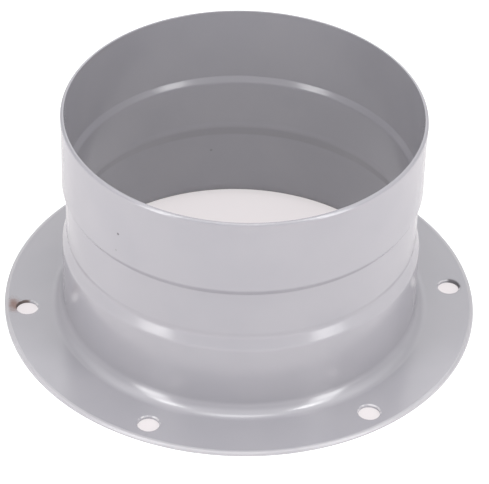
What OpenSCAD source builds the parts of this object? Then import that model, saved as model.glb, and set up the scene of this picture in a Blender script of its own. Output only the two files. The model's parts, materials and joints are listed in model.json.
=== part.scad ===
// Duct wall flange: one round of sheet steel, pressed and rolled in one piece.
// A flat plate goes against the wall and takes the screws. A round collar stands
// on it and takes the duct. The collar's neck steps in to a shallow waist, with a
// slight crease where it ends, and out again to the duct band. The top of the
// band flares out a little to a rolled rim.
// Origin: centre of the plate's wall face. +Z runs up the collar's axis.

/* [Sheet] */
// Thickness of the sheet
sheet_t = 1.5; // [1:0.1:2.5]
// Radius of the rolled edges, which are the rim's outside and the plate's top
rolled_r = 1.3; // [0.3:0.05:2]
// Radius of the dressed edges at the holes
edge_r = 0.6; // [0.2:0.05:1]

/* [Plate] */
// Width of the plate, from the collar's outside to the plate's edge
plate_w = 25; // [21:0.5:60]
// Radius of the hollow between the plate and the neck
root_r = 5.6; // [2:0.1:8]

/* [Screw holes] */
// Number of screw holes, evenly spaced, the first on +X
hole_count = 6; // [3:1:12]
// Diameter of a screw hole
hole_d = 9; // [4:0.1:12]
// Distance from a hole's centre to the plate's edge
hole_inset = 9.5; // [7:0.1:13]

/* [Collar] */
// Outside diameter of the neck and of the duct band
collar_d = 150; // [100:1:315]
// Height of the whole flange, from the wall face to the rim
height = 98.5; // [90:0.5:200]

/* [Waist] */
// Depth of the waist below the collar's outside
waist_depth = 1.6; // [0.8:0.05:3]
// Height of the shoulder's foot above the wall face
shoulder_z = 33.3; // [15:0.1:37]
// Height of the middle of the step up to the duct band
band_step_z = 63.6; // [57:0.1:70]
// Steepest slope of the shoulder, measured from the collar's axis
shoulder_a = 19; // [15:0.5:60]
// Radius of the shoulder's foot, in the middle of the sheet
shoulder_foot_r = 4.5; // [2:0.5:10]
// Radius of the shoulder's head, in the middle of the sheet
shoulder_head_r = 4.5; // [2:0.5:8]
// Depth of the crease at the shoulder's head, below the waist
crease_depth = 0.15; // [0.1:0.05:0.5]
// Height of the crease's floor
crease_h = 0.4; // [0.2:0.1:2]
// Steepest slope from the crease out to the waist, measured from the collar's axis
crease_a = 5.5; // [4:0.5:30]
// Radius of both bends of that slope, in the middle of the sheet
crease_r = 2; // [1.5:0.1:4]
// Steepest slope of the step up to the duct band, measured from the collar's axis
band_step_a = 29; // [20:1:60]
// Radius of both bends of that step, in the middle of the sheet
band_step_r = 2.2; // [1.5:0.1:4]

/* [Rim] */
// How far the rim stands out beyond the duct band
rim_flare = 0.3; // [0:0.05:1]
// Height of the cone that runs out to the rim
flare_h = 12; // [5:0.5:15]

/* [Hidden] */

// Smoothness of full circles, and the turn between two points of a bend and of
// the rim's sharp inner edge
$fn = 180;
bend_turn = 5;
sharp_turn = 15;
// How far a cutter runs past the sheet
overcut = 1;

half_t = sheet_t / 2;
// An edge's radius is never more than the sheet has room for
dressed_r = min(edge_r, half_t - 0.05);
round_r = min(rolled_r, sheet_t - 0.1);
// The rim's inner edge takes what its outer edge leaves of the sheet
rim_in_r = sheet_t - round_r;
collar_r = collar_d / 2;
rim_r = collar_r + rim_flare;
flare_z = height - flare_h;
plate_r = collar_r + plate_w;
bolt_circle_r = plate_r - hole_inset;
// Radius of the sheet's middle in the neck and the duct band
neck_mid_r = collar_r - half_t;
waist_mid_r = neck_mid_r - waist_depth;
crease_mid_r = waist_mid_r - crease_depth;
// Depth of the shoulder, from the neck down to the crease's floor
dip = waist_depth + crease_depth;
shoulder_h = step_h(dip, shoulder_a, shoulder_foot_r, shoulder_head_r);
// Height of the floor's upper end, where the slope out to the waist begins
crease_z = shoulder_z + shoulder_h + crease_h;
// Height of the lower end of the step up to the duct band
band_foot_z = band_step_z - step_h(waist_depth, band_step_a, band_step_r, band_step_r) / 2;

// Points of an arc about a centre, from one direction to another
function arc(centre, r, from, to, turn = bend_turn) =
    let (steps = ceil(abs(to - from) / turn))
    [for (i = [0 : steps])
        let (a = from + (to - from) * i / steps)
        centre + r * [cos(a), sin(a)]];

// Length of the straight slope between the two bends of a step
function slope_len(depth, a, foot_r, head_r) =
    max(0, depth - (foot_r + head_r) * (1 - cos(a))) / sin(a);

// Slope of a step whose bends leave no room for the slope that was asked for
function step_slope(depth, a, foot_r, head_r) =
    min(a, acos(1 - depth / (foot_r + head_r)));

// Height that a step takes
function step_h(depth, a, foot_r, head_r) =
    let (s = step_slope(depth, a, foot_r, head_r))
    (foot_r + head_r) * sin(s) + slope_len(depth, s, foot_r, head_r) * cos(s);

// One face of a step in the sheet, going up from [r, z] at the sheet's middle.
// out is 1 for a step outwards and -1 for a step inwards, and off is how far
// the face lies outside the sheet's middle.
function step(r, z, out, depth, a, foot_r, head_r, off) =
    let (
        s = step_slope(depth, a, foot_r, head_r),
        foot = foot_r - out * off,
        head = head_r + out * off,
        top_z = z + step_h(depth, a, foot_r, head_r),
        foot_dir = out > 0 ? 180 : 0,
        head_dir = out > 0 ? 0 : 180
    )
    concat(
        arc([r + out * foot_r, z], foot, foot_dir, foot_dir - out * s),
        arc([r + out * (depth - head_r), top_z], head, head_dir - out * s, head_dir)
    );

// One face of the collar from the root bend up to the last bend
function collar_face(off) = concat(
    arc([collar_r + root_r, sheet_t + root_r], root_r + half_t - off, 270, 180),
    step(neck_mid_r, shoulder_z, -1, dip, shoulder_a, shoulder_foot_r, shoulder_head_r, off),
    step(crease_mid_r, crease_z, 1, crease_depth, crease_a, crease_r, crease_r, off),
    step(waist_mid_r, band_foot_z, 1, waist_depth, band_step_a, band_step_r, band_step_r, off)
);

function reversed(list) = [for (i = [len(list) - 1 : -1 : 0]) list[i]];

// A list without its first item
function rest(list) = [for (i = [1 : len(list) - 1]) list[i]];

// The rim's edges, from the outside over the top and down to the inside
function rim_edges() =
    let (top_r = rim_r - round_r)
    concat(
        arc([top_r, height - round_r], round_r, 0, 90),
        rest(arc([top_r, height - rim_in_r], rim_in_r, 90, 180, sharp_turn))
    );

// Half section of the sheet, to the right of the axis
module section() {
    plate_edge = arc([plate_r - round_r, sheet_t - round_r], round_r, 0, 90);
    outside = concat(collar_face(half_t), [[collar_r, flare_z]]);
    inside = concat(collar_face(-half_t), [[collar_r - sheet_t, flare_z]]);
    polygon(concat([[plate_r, 0]], plate_edge, outside, rim_edges(), reversed(inside)));
}

// Cutter for one screw hole: a straight wall that opens out at the dressed edge
module hole_cutter() {
    r = hole_d / 2;
    mouth = arc([r + dressed_r, sheet_t - dressed_r], dressed_r, 180, 90);
    rotate_extrude()
        polygon(concat(
            [[0, -overcut], [r, -overcut]],
            mouth,
            [[r + dressed_r, sheet_t + overcut], [0, sheet_t + overcut]]
        ));
}

module wall_flange() {
    color([0.74, 0.73, 0.76])
        difference() {
            rotate_extrude()
                section();
            for (i = [0 : hole_count - 1])
                rotate(i * 360 / hole_count)
                    translate([bolt_circle_r, 0, 0])
                        hole_cutter();
        }
}

wall_flange();
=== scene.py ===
"""A duct wall flange of painted sheet steel, standing on its plate on a pale floor."""

import json
import math

import bpy
from mathutils import Matrix, Vector


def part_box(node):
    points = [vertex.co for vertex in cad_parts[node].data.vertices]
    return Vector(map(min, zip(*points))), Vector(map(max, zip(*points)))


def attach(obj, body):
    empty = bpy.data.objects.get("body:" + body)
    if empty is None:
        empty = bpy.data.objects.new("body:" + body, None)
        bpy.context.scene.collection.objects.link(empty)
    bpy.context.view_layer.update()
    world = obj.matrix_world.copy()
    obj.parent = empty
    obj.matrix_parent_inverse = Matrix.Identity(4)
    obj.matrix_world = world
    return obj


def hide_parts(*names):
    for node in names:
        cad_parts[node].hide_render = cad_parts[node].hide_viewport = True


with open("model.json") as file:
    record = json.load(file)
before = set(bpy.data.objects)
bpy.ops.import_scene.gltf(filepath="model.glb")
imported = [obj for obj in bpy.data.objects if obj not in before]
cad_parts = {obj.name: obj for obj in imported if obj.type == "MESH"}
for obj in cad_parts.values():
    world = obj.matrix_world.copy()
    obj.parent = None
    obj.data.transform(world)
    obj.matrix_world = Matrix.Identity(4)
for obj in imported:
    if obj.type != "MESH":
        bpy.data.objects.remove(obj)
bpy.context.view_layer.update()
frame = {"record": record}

MM = 0.001
QUARTER = math.pi / 2

# The sizes that the frame states
MOUNTS = {m["name"]: m for m in frame["record"]["mounts"]}
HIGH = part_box("wall_flange")[1]
PLATE_R = HIGH.x
HEIGHT = HIGH.z
COLLAR_R = MOUNTS["duct_band"]["dims"]["r_mm"] * MM
HOLE_R = MOUNTS["wall_screws"]["dims"]["hole_r_mm"] * MM
HOLE_COUNT = MOUNTS["wall_screws"]["dims"]["count"]
HOLE_CIRCLE_R = MOUNTS["wall_screws"]["dims"]["pcd_mm"] / 2 * MM

# The sheet and its bends, as in the part's source
SHEET_T = 1.5 * MM
ROLLED_R = 1.3 * MM
EDGE_R = 0.6 * MM
ROOT_R = 5.6 * MM
WAIST_DEPTH = 1.6 * MM
SHOULDER_Z = 33.3 * MM
SHOULDER_A = math.radians(19)
SHOULDER_FOOT_R = 4.5 * MM
SHOULDER_HEAD_R = 4.5 * MM
CREASE_DEPTH = 0.15 * MM
CREASE_H = 0.4 * MM
CREASE_A = math.radians(5.5)
CREASE_R = 2 * MM
BAND_STEP_Z = 63.6 * MM
BAND_STEP_A = math.radians(29)
BAND_STEP_R = 2.2 * MM
RIM_FLARE = 0.3 * MM
FLARE_H = 12 * MM
MID_R = COLLAR_R - SHEET_T / 2

# How finely the sheet's bends, the collar's round and a hole's round are divided, and how
# sharp an edge has to be to stay an edge in the shading
BEND_TURN = math.radians(4)
ROUND_STEPS = 288
HOLE_STEPS = 72
SHARP_TURN = math.radians(35)

# The photograph looks at the flange turned by this much about the collar's axis
VIEW_TURN = math.radians(-7.105)
CAMERA_PLACE = Vector((0.0205, -13.529, 11.005)) * COLLAR_R
CAMERA_TILT = math.radians(38.05)
CAMERA_ROLL = math.radians(1.73)
CAMERA_LENS = 225.1
CAMERA_SENSOR = 36


def turned(v):
    """A place or a direction given in the photograph's own directions, in the frame's."""
    return Matrix.Rotation(VIEW_TURN, 3, "Z") @ Vector(v)


def nothing_selected():
    bpy.ops.object.select_all(action="DESELECT")


def select_only(obj):
    nothing_selected()
    obj.select_set(True)
    bpy.context.view_layer.objects.active = obj


def apply(obj, name, kind, **settings):
    """Adds one modifier and applies it."""
    select_only(obj)
    modifier = obj.modifiers.new(name, kind)
    for key, value in settings.items():
        setattr(modifier, key, value)
    bpy.ops.object.modifier_apply(modifier=modifier.name)


class Outline:
    """An outline in the XZ plane, drawn vertex by vertex in edit mode."""

    def __init__(self, name, x, z):
        nothing_selected()
        bpy.ops.mesh.primitive_plane_add(size=MM, location=(0, 0, 0))
        self.obj = bpy.context.active_object
        self.obj.name = self.obj.data.name = name
        bpy.ops.object.mode_set(mode="EDIT")
        bpy.ops.mesh.select_mode(type="VERT")
        bpy.ops.mesh.select_all(action="SELECT")
        bpy.ops.mesh.merge(type="CENTER")
        bpy.ops.transform.translate(value=(x, 0, z))
        self.x, self.z = x, z

    def straight(self, x, z):
        """A straight run to a place."""
        move = {"value": (x - self.x, 0, z - self.z)}
        bpy.ops.mesh.extrude_vertices_move(TRANSFORM_OT_translate=move)
        self.x, self.z = x, z

    def bend(self, x, z, turn):
        """A round bend about a centre; a positive turn is anticlockwise, X to the right and Z up."""
        steps = max(2, math.ceil(abs(turn) / BEND_TURN))
        bpy.ops.mesh.spin(steps=steps, angle=turn, center=(x, 0, z), axis=(0, 1, 0))
        dx, dz = self.x - x, self.z - z
        self.x = x + dx * math.cos(turn) - dz * math.sin(turn)
        self.z = z + dx * math.sin(turn) + dz * math.cos(turn)

    def revolve(self, steps):
        """Spins the whole outline round the Z axis."""
        bpy.ops.mesh.select_all(action="SELECT")
        bpy.ops.mesh.spin(steps=steps, angle=2 * math.pi, center=(0, 0, 0), axis=(0, 0, 1))
        bpy.ops.mesh.select_all(action="SELECT")
        bpy.ops.mesh.remove_doubles(threshold=0.001 * MM)
        bpy.ops.mesh.normals_make_consistent(inside=False)
        bpy.ops.object.mode_set(mode="OBJECT")
        return self.obj


def step_bends(x, z, out, depth, a, foot_r, head_r):
    """The two bends of a step in the sheet's middle, going up: out is 1 outwards and -1 inwards.

    Each bend is its centre, its radius, where it starts, its turn, and 1 where its centre
    lies outside the sheet or -1 where it lies inside.
    """
    a = min(a, math.acos(1 - depth / (foot_r + head_r)))
    slope = max(0, depth - (foot_r + head_r) * (1 - math.cos(a))) / math.sin(a)
    top_z = z + (foot_r + head_r) * math.sin(a) + slope * math.cos(a)
    start = math.pi if out > 0 else 0
    foot = (x + out * foot_r, z, foot_r, start, -out * a, out)
    head = (x + out * (depth - head_r), top_z, head_r, math.pi - start - out * a, out * a, -out)
    return [foot, head]


def sheet_bends():
    """All the bends of the sheet's middle, from the plate to the duct band."""
    root = (COLLAR_R + ROOT_R, SHEET_T + ROOT_R, ROOT_R + SHEET_T / 2, -QUARTER, -QUARTER, 1)
    dip = WAIST_DEPTH + CREASE_DEPTH
    shoulder = step_bends(MID_R, SHOULDER_Z, -1, dip, SHOULDER_A, SHOULDER_FOOT_R, SHOULDER_HEAD_R)
    crease_z = shoulder[1][1] + CREASE_H
    crease = step_bends(MID_R - dip, crease_z, 1, CREASE_DEPTH, CREASE_A, CREASE_R, CREASE_R)
    waist_r = MID_R - WAIST_DEPTH
    step = step_bends(waist_r, 0, 1, WAIST_DEPTH, BAND_STEP_A, BAND_STEP_R, BAND_STEP_R)
    lift = BAND_STEP_Z - step[1][1] / 2
    step = [(x, z + lift, r, start, turn, side) for x, z, r, start, turn, side in step]
    return [root] + shoulder + crease + step


def follow(line, bends, off):
    """Draws one face of the sheet, which lies off outside its middle, along the bends."""
    for x, z, r, start, turn, side in bends:
        face_r = r - side * off
        line.straight(x + face_r * math.cos(start), z + face_r * math.sin(start))
        line.bend(x, z, turn)


def make_flange():
    """The sheet's section, from the plate's edge over the rim and back, spun round the axis."""
    line = Outline("painted_wall_flange", PLATE_R, 0)
    line.straight(PLATE_R, SHEET_T - ROLLED_R)
    line.bend(PLATE_R - ROLLED_R, SHEET_T - ROLLED_R, QUARTER)
    bends = sheet_bends()
    follow(line, bends, SHEET_T / 2)
    rim_r = COLLAR_R + RIM_FLARE
    line.straight(COLLAR_R, HEIGHT - FLARE_H)
    line.straight(rim_r, HEIGHT - ROLLED_R)
    line.bend(rim_r - ROLLED_R, HEIGHT - ROLLED_R, QUARTER)
    line.bend(rim_r - ROLLED_R, HEIGHT - (SHEET_T - ROLLED_R), QUARTER)
    line.straight(COLLAR_R - SHEET_T, HEIGHT - FLARE_H)
    back = [(x, z, r, start + turn, -turn, side) for x, z, r, start, turn, side in reversed(bends)]
    follow(line, back, -SHEET_T / 2)
    line.straight(PLATE_R, 0)
    flange = line.revolve(ROUND_STEPS)
    cutter = make_hole_cutter()
    cut = {"operation": "DIFFERENCE", "solver": "EXACT", "object": cutter}
    apply(flange, "screw_holes", "BOOLEAN", **cut)
    bpy.data.objects.remove(cutter)
    select_only(flange)
    bpy.ops.object.shade_smooth_by_angle(angle=SHARP_TURN)
    apply(flange, "flat_stays_flat", "WEIGHTED_NORMAL", mode="FACE_AREA", keep_sharp=True)
    return flange


def make_hole_cutter():
    """One punch as a spun outline that opens out at the sheet's top, copied round the plate."""
    clear = 1 * MM
    line = Outline("punch", 0, -clear)
    line.straight(HOLE_R, -clear)
    line.straight(HOLE_R, SHEET_T - EDGE_R)
    line.bend(HOLE_R + EDGE_R, SHEET_T - EDGE_R, -QUARTER)
    line.straight(HOLE_R + EDGE_R, SHEET_T + clear)
    line.straight(0, SHEET_T + clear)
    punch = line.revolve(HOLE_STEPS)
    punch.data.transform(Matrix.Translation((HOLE_CIRCLE_R, 0, 0)))
    nothing_selected()
    copies = [punch]
    for i in range(1, HOLE_COUNT):
        copy = punch.copy()
        copy.data = punch.data.copy()
        copy.data.transform(Matrix.Rotation(2 * math.pi * i / HOLE_COUNT, 4, "Z"))
        bpy.context.scene.collection.objects.link(copy)
        copies.append(copy)
    for copy in copies:
        copy.select_set(True)
    bpy.context.view_layer.objects.active = punch
    bpy.ops.object.join()
    return punch


def new_material(name):
    material = bpy.data.materials.new(name)
    material.use_nodes = True
    return material, material.node_tree.nodes, material.node_tree.links


# How large the lumps are that make the edges of the marks ragged, and by how much
SPOT_LUMPS = 1.2 * MM
EDGE_LUMPS = 0.9 * MM
EDGE_RAGGED = 0.5 * MM


class Wiring:
    """Short ways to add nodes to one material."""

    def __init__(self, nodes, links):
        self.nodes, self.links = nodes, links

    def add(self, kind, *inputs, out=0, **settings):
        """Adds a node whose inputs are values or other nodes' outputs, and gives one output."""
        node = self.nodes.new(kind)
        for key, value in settings.items():
            setattr(node, key, value)
        for socket, value in zip(node.inputs, inputs):
            if isinstance(value, bpy.types.NodeSocket):
                self.links.new(value, socket)
            elif value is not None:
                socket.default_value = value
        return node.outputs[out]

    def math(self, operation, a, b=None):
        return self.add("ShaderNodeMath", a, b, operation=operation)

    def vector(self, operation, a, b=None, out=0):
        return self.add("ShaderNodeVectorMath", a, b, out=out, operation=operation)

    def length(self, vector):
        return self.vector("LENGTH", vector, out="Value")

    def noise(self, place, size, detail=2.0):
        """Noise from 0 to 1 whose lumps are about this size."""
        return self.add("ShaderNodeTexNoise", place, None, 1 / size, detail, 0.5)

    def uneven(self, place, size, amount):
        """Noise about 0, to make a mark's edge ragged."""
        lumps = self.math("SUBTRACT", self.noise(place, size), 0.5)
        return self.math("MULTIPLY", lumps, amount)

    def ramp(self, value, low, high, at_low=0.0, at_high=1.0):
        """A soft change between two values."""
        kind = {"interpolation_type": "SMOOTHSTEP"}
        return self.add("ShaderNodeMapRange", value, low, high, at_low, at_high, **kind)

    def spot(self, place, centre, turn, size, ragged, soft=0.5):
        """1 at a spot and 0 past its edge; its size is along the radius, round the plate and up."""
        mapping = {"vector_type": "TEXTURE"}
        moved = self.add("ShaderNodeMapping", place, centre, (0, 0, turn), size, **mapping)
        edge = self.math("ADD", self.length(moved), self.uneven(place, SPOT_LUMPS, ragged))
        return self.ramp(edge, 1 - soft, 1, 1, 0)

    def hole_edge(self, place, hole, middle, half_angle, inner, outer):
        """1 on part of a screw hole's wall and edge, between two radii round the hole's centre.

        The part's middle and half its angle are in degrees, as seen from the hole's centre.
        """
        a = hole * 2 * math.pi / HOLE_COUNT
        centre = (HOLE_CIRCLE_R * math.cos(a), HOLE_CIRCLE_R * math.sin(a), 0)
        flat = self.vector("MULTIPLY", self.vector("SUBTRACT", place, centre), (1, 1, 0))
        ragged = self.uneven(place, EDGE_LUMPS, EDGE_RAGGED)
        ring = self.ramp(self.math("ADD", self.length(flat), ragged), inner, outer, 1, 0)
        middle, half_angle = math.radians(middle), math.radians(half_angle)
        toward = (math.cos(middle), math.sin(middle), 0)
        facing = self.vector("DOT_PRODUCT", self.vector("NORMALIZE", flat), toward, out="Value")
        part = self.ramp(facing, math.cos(half_angle), math.cos(half_angle * 0.6))
        return self.math("MULTIPLY", ring, part)

    def nearest_hole(self, place):
        """How far a place on the plate is from the middle of the nearest screw hole."""
        whole = 2 * math.pi / HOLE_COUNT
        x, y = (self.add("ShaderNodeSeparateXYZ", place, out=axis) for axis in "XY")
        angle = self.math("ADD", self.math("ARCTAN2", y, x), whole / 2)
        angle = self.math("SUBTRACT", self.math("FLOORED_MODULO", angle, whole), whole / 2)
        r = self.length(self.add("ShaderNodeCombineXYZ", x, y))
        along = self.math("MULTIPLY", r, self.math("COSINE", angle))
        along = self.math("SUBTRACT", along, HOLE_CIRCLE_R)
        across = self.math("MULTIPLY", r, self.math("SINE", angle))
        return self.length(self.add("ShaderNodeCombineXYZ", along, across))

    def tint(self, mask, under, colour, strength=1.0):
        """Lays a colour over another one where the mask is 1."""
        covers = self.math("MULTIPLY", mask, strength)
        return self.add("ShaderNodeMixRGB", covers, under, (*colour, 1))


# The coat's colours: its usual one, where it is paler, and a paler one painted over the plate's edge
# as a highlight
PAINT = (0.264, 0.258, 0.281)
PAINT_PALE = (0.274, 0.267, 0.289)
EDGE_HIGHLIGHT_PAINT = (0.36, 0.35, 0.37)

# The colours of the marks: a painted highlight on the holes' edges, rust on the plate and in a hole,
# and a dark colour for specks and for painted shade in a hole
HOLE_EDGE_HIGHLIGHT = (0.45, 0.435, 0.455)
RUST = (0.165, 0.095, 0.08)
RUST_DARK = (0.075, 0.045, 0.035)
SPECK_AND_SHADE_DARK = (0.075, 0.07, 0.08)

# The coat's gloss, how much of it is lost on a mark, and the share of that lost under the painted
# highlight on the plate's edge
PAINT_IOR = 1.7
GLOSSY, LESS_GLOSSY = 0.18, 0.22
DULLED_ADDS = 0.4
EDGE_HIGHLIGHT_DULLS = 0.5

# The sheet's own waviness and the coat's orange peel: the size and the height of the lumps
WAVE_SIZE, WAVE_H = 16 * MM, 0.02 * MM
PEEL_SIZE, PEEL_H = 1.5 * MM, 0.004 * MM

# The rust stain beside the hole on -X: its middle and its size
STAIN_PLACE = (-96.0 * MM, 1.9 * MM, 1.2 * MM)
STAIN_SIZE = (4.2 * MM, 7.0 * MM, 4 * MM)

# The rusty part of one hole's edge, and the part of another hole's far wall and edge that is painted
# in shade: the hole's number, the part's middle and half its angle in degrees, and the radii at
# which the mark begins to fade and is gone
RUSTY_EDGE = (HOLE_COUNT // 2, 128, 66, 4.6 * MM, 5.1 * MM)
SHADED_HOLE_EDGE = (0, 36, 62, 4.9 * MM, 5.7 * MM)

# Where a highlight is painted on a hole's edge: radii that it fades between, and heights that it
# starts between; and the radii between which a highlight is painted towards the plate's edge
HOLE_HIGHLIGHT_R = (4.8 * MM, 5.1 * MM)
HOLE_HIGHLIGHT_Z = (0.8 * MM, 1.0 * MM)
EDGE_HIGHLIGHT_R = (97.6 * MM, 99.2 * MM)

# Azimuth, radius, height and half size of a speck, and how dark it is
SPECKS = [
    (-137.7, 75, 77.9, 0.7, 1.0),
    (-138.6, 75, 69.2, 0.6, 0.3),
    (94.2, 73.5, 25.7, 0.8, 0.3),
]


def grey_gloss_paint():
    """Light grey gloss paint, slightly orange-peeled, with rust at one screw hole, painted shade in
    another, and painted highlights on the holes' edges and the plate's edge.
    """
    material, nodes, links = new_material("grey_gloss_paint")
    paint = nodes["Principled BSDF"]
    paint.inputs["IOR"].default_value = PAINT_IOR
    wire = Wiring(nodes, links)
    place = wire.add("ShaderNodeTexCoord", out="Object")

    # The coat isn't quite even in colour
    cloud = wire.ramp(wire.noise(place, 30 * MM), 0.35, 0.65)
    colour = wire.add("ShaderNodeMixRGB", cloud, (*PAINT, 1), (*PAINT_PALE, 1))

    # Rust beside the hole on -X, and on that hole's far wall
    stain = wire.spot(place, STAIN_PLACE, 0.0, STAIN_SIZE, 0.6, 0.9)
    colour = wire.tint(stain, colour, RUST, 0.95)
    rusty = wire.hole_edge(place, *RUSTY_EDGE)
    colour = wire.tint(rusty, colour, RUST_DARK, 0.9)

    # Painted shade: a dark colour on the far wall and edge of the hole on +X
    hole_shade = wire.hole_edge(place, *SHADED_HOLE_EDGE)
    colour = wire.tint(hole_shade, colour, SPECK_AND_SHADE_DARK, 0.85)

    # Specks on the band and inside the neck
    for azimuth, r, z, size, strength in SPECKS:
        a = math.radians(azimuth)
        centre = (r * math.cos(a) * MM, r * math.sin(a) * MM, z * MM)
        speck = wire.spot(place, centre, a, (1 * MM, size * MM, size * MM), 0.3)
        colour = wire.tint(speck, colour, SPECK_AND_SHADE_DARK, strength)

    # A painted highlight: a paler colour here and there on the edges of the screw holes
    marked = wire.math("MAXIMUM", stain, wire.math("MAXIMUM", rusty, hole_shade))
    near_hole = wire.ramp(wire.nearest_hole(place), *HOLE_HIGHLIGHT_R, 1, 0)
    height = wire.add("ShaderNodeSeparateXYZ", place, out="Z")
    ring = wire.math("MULTIPLY", near_hole, wire.ramp(height, *HOLE_HIGHLIGHT_Z))
    broken = wire.ramp(wire.noise(place, 2 * MM), 0.4, 0.6)
    hole_highlight = wire.math("MULTIPLY", ring, broken)
    hole_highlight = wire.math("MULTIPLY", hole_highlight, wire.math("SUBTRACT", 1, marked))
    colour = wire.tint(hole_highlight, colour, HOLE_EDGE_HIGHLIGHT)

    # A painted highlight: an uneven paler colour over the plate's rolled edge
    radius = wire.length(wire.vector("MULTIPLY", place, (1, 1, 0)))
    uneven = wire.ramp(wire.noise(place, 20 * MM), 0.25, 0.75, 0.6, 1.0)
    edge_highlight = wire.math("MULTIPLY", wire.ramp(radius, *EDGE_HIGHLIGHT_R), uneven)
    colour = wire.tint(edge_highlight, colour, EDGE_HIGHLIGHT_PAINT)
    links.new(colour, paint.inputs["Base Color"])

    # Gloss that varies a little, and is lost on the rust and on the painted shade in the +X hole,
    # and partly under the painted highlight on the plate's edge
    gloss = wire.ramp(wire.noise(place, 12 * MM, 3.0), 0.3, 0.7, GLOSSY, LESS_GLOSSY)
    dulled = wire.math("MAXIMUM", marked, wire.math("MULTIPLY", edge_highlight, EDGE_HIGHLIGHT_DULLS))
    rough = wire.math("ADD", gloss, wire.math("MULTIPLY", dulled, DULLED_ADDS))
    links.new(rough, paint.inputs["Roughness"])

    waves = wire.math("MULTIPLY", wire.noise(place, WAVE_SIZE, 1.0), WAVE_H)
    peel = wire.math("MULTIPLY", wire.noise(place, PEEL_SIZE, 1.0), PEEL_H)
    bump = nodes.new("ShaderNodeBump")
    bump.inputs["Distance"].default_value = 1
    links.new(wire.math("ADD", waves, peel), bump.inputs["Height"])
    links.new(bump.outputs[0], paint.inputs["Normal"])
    return material


# The floor's own paint, which lights the flange from below
FLOOR_SIZE = 6
FLOOR_DROP = 0.1 * MM
FLOOR_PAINT = (0.84, 0.82, 0.825, 1)
FLOOR_ROUGH = 0.9

# The floor that the camera sees: how much it glows and in what colour, and its colours under the
# flange, darker there as painted shade, and round it
FLOOR_GLOW = 0.65
GLOW_COLOUR = (1, 0.955, 0.97, 1)
FLOOR_SHADE_UNDER = (0.16, 0.145, 0.15, 1)
FLOOR_ROUND = (0.5, 0.55, 0.54, 1)


def make_floor():
    """A plain pale floor; the camera sees it run out to white, with the flange's shadow on it and a
    darker colour painted beneath the flange as shade.
    """
    bpy.ops.mesh.primitive_plane_add(size=FLOOR_SIZE, location=(0, 0, -FLOOR_DROP))
    floor = bpy.context.active_object
    floor.name = "floor"
    material, nodes, links = new_material("pale_floor")
    paint = nodes["Principled BSDF"]
    paint.inputs["Base Color"].default_value = FLOOR_PAINT
    paint.inputs["Roughness"].default_value = FLOOR_ROUGH
    paint.inputs["Specular IOR Level"].default_value = 0
    wire = Wiring(nodes, links)
    place = wire.add("ShaderNodeTexCoord", out="Object")
    # Painted shade: beneath the flange the floor's colour is darker
    far = wire.ramp(wire.length(place), PLATE_R - 3 * MM, PLATE_R - 2 * MM)
    colour = wire.add("ShaderNodeMixRGB", far, FLOOR_SHADE_UNDER, FLOOR_ROUND)
    lit = wire.add("ShaderNodeBsdfDiffuse", colour)
    glow = wire.add("ShaderNodeEmission", GLOW_COLOUR, FLOOR_GLOW)
    both = wire.add("ShaderNodeAddShader", lit, glow)
    seen = wire.add("ShaderNodeLightPath")
    shown = wire.add("ShaderNodeMixShader", seen, paint.outputs[0], both)
    links.new(shown, nodes["Material Output"].inputs[0])
    floor.data.materials.append(material)


# The two upright strips: where they stand, and for each of their parts the heights of its
# ends and the left and the right one's radiance
LEFT_AZIMUTH, RIGHT_AZIMUTH = -46, 50
STRIP_DISTANCE = 0.45
STRIP_WIDTH = 0.14
STRIPS = [
    (0.0, 0.2, 6.5, 6.5),
    (0.2, 0.42, 4.8, 4.8),
    (0.42, 0.7, 9.0, 10.0),
]


def make_strip(name, azimuth, low, high, radiance):
    """An upright strip softbox that faces the axis; azimuth 0 is the camera's side."""
    a = math.radians(azimuth)
    away = turned((math.sin(a), -math.cos(a), 0))
    data = bpy.data.lights.new(name, "AREA")
    data.shape = "RECTANGLE"
    data.size = STRIP_WIDTH
    data.size_y = high - low
    data.energy = radiance * math.pi * STRIP_WIDTH * (high - low)
    lamp = bpy.data.objects.new(name, data)
    lamp.location = away * STRIP_DISTANCE + Vector((0, 0, (low + high) / 2))
    lamp.rotation_euler = away.to_track_quat("Z", "Y").to_euler()
    lamp.visible_camera = False
    bpy.context.scene.collection.objects.link(lamp)


# The room's soft lights: azimuth and elevation of the middle, the angles at which the light
# begins to fall off and is gone, and its radiance
ROOM = 0.34
SOFT_LIGHTS = [
    (180, 27, 10, 40, 1.3),
    (0, 75, 30, 55, 0.9),
    (0, 90, 5, 32, 0.15),
    (0, 84, 3, 14, 3.8),
    (0, 45, 10, 30, 0.15),
    (-90, 45, 10, 35, 0.75),
    (90, 45, 10, 35, 0.6),
    (130, 22, 10, 35, 0.2),
]


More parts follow.
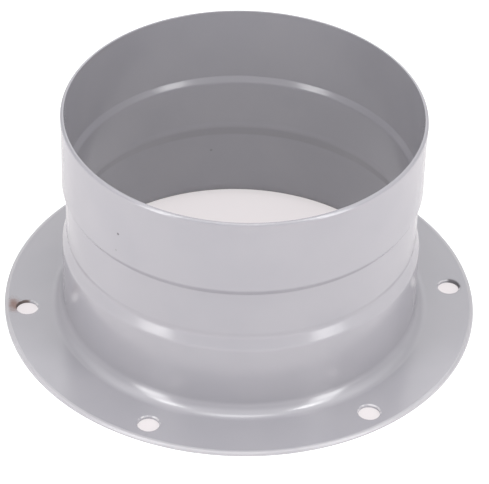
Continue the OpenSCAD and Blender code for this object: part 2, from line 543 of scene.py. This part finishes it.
def make_world():
    """White for the camera; the light comes from a dim room with large soft lights."""
    world = bpy.data.worlds.new("studio")
    bpy.context.scene.world = world
    world.use_nodes = True
    wire = Wiring(world.node_tree.nodes, world.node_tree.links)
    place = wire.add("ShaderNodeTexCoord")
    total = ROOM
    for azimuth, elevation, inner, outer, radiance in SOFT_LIGHTS:
        a, e = math.radians(azimuth), math.radians(elevation)
        middle = turned((math.sin(a) * math.cos(e), -math.cos(a) * math.cos(e), math.sin(e)))
        facing = wire.vector("DOT_PRODUCT", place, middle, out="Value")
        edges = math.cos(math.radians(outer)), math.cos(math.radians(inner))
        total = wire.math("ADD", wire.ramp(facing, *edges, 0, radiance), total)
    room = wire.nodes["Background"]
    room.inputs["Color"].default_value = (1, 1, 1, 1)
    wire.links.new(total, room.inputs["Strength"])
    white = wire.add("ShaderNodeBackground", (1, 1, 1, 1), 1)
    seen = wire.add("ShaderNodeLightPath")
    both = wire.add("ShaderNodeMixShader", seen, room.outputs[0], white)
    wire.links.new(both, wire.nodes["World Output"].inputs[0])


def make_camera():
    """The photograph's view: a long lens from above, rolled a little."""
    ahead = turned((0, math.cos(CAMERA_TILT), -math.sin(CAMERA_TILT)))
    level = turned((1, 0, 0))
    above = level.cross(ahead)
    right = math.cos(CAMERA_ROLL) * level + math.sin(CAMERA_ROLL) * above
    up = -math.sin(CAMERA_ROLL) * level + math.cos(CAMERA_ROLL) * above
    data = bpy.data.cameras.new("camera")
    data.sensor_width = CAMERA_SENSOR
    data.lens = CAMERA_LENS
    camera = bpy.data.objects.new("camera", data)
    turn = Matrix((right, up, -ahead)).transposed().to_4x4()
    camera.matrix_world = Matrix.Translation(turned(CAMERA_PLACE)) @ turn
    bpy.context.scene.collection.objects.link(camera)
    bpy.context.scene.camera = camera


make_camera()
make_floor()
make_world()
for low, high, left, right in STRIPS:
    make_strip("left_strip", LEFT_AZIMUTH, low, high, left)
    make_strip("right_strip", RIGHT_AZIMUTH, low, high, right)
bpy.context.scene.view_settings.view_transform = "Standard"

flange = make_flange()
flange.data.materials.clear()
flange.data.materials.append(grey_gloss_paint())
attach(flange, "root")
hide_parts("wall_flange")
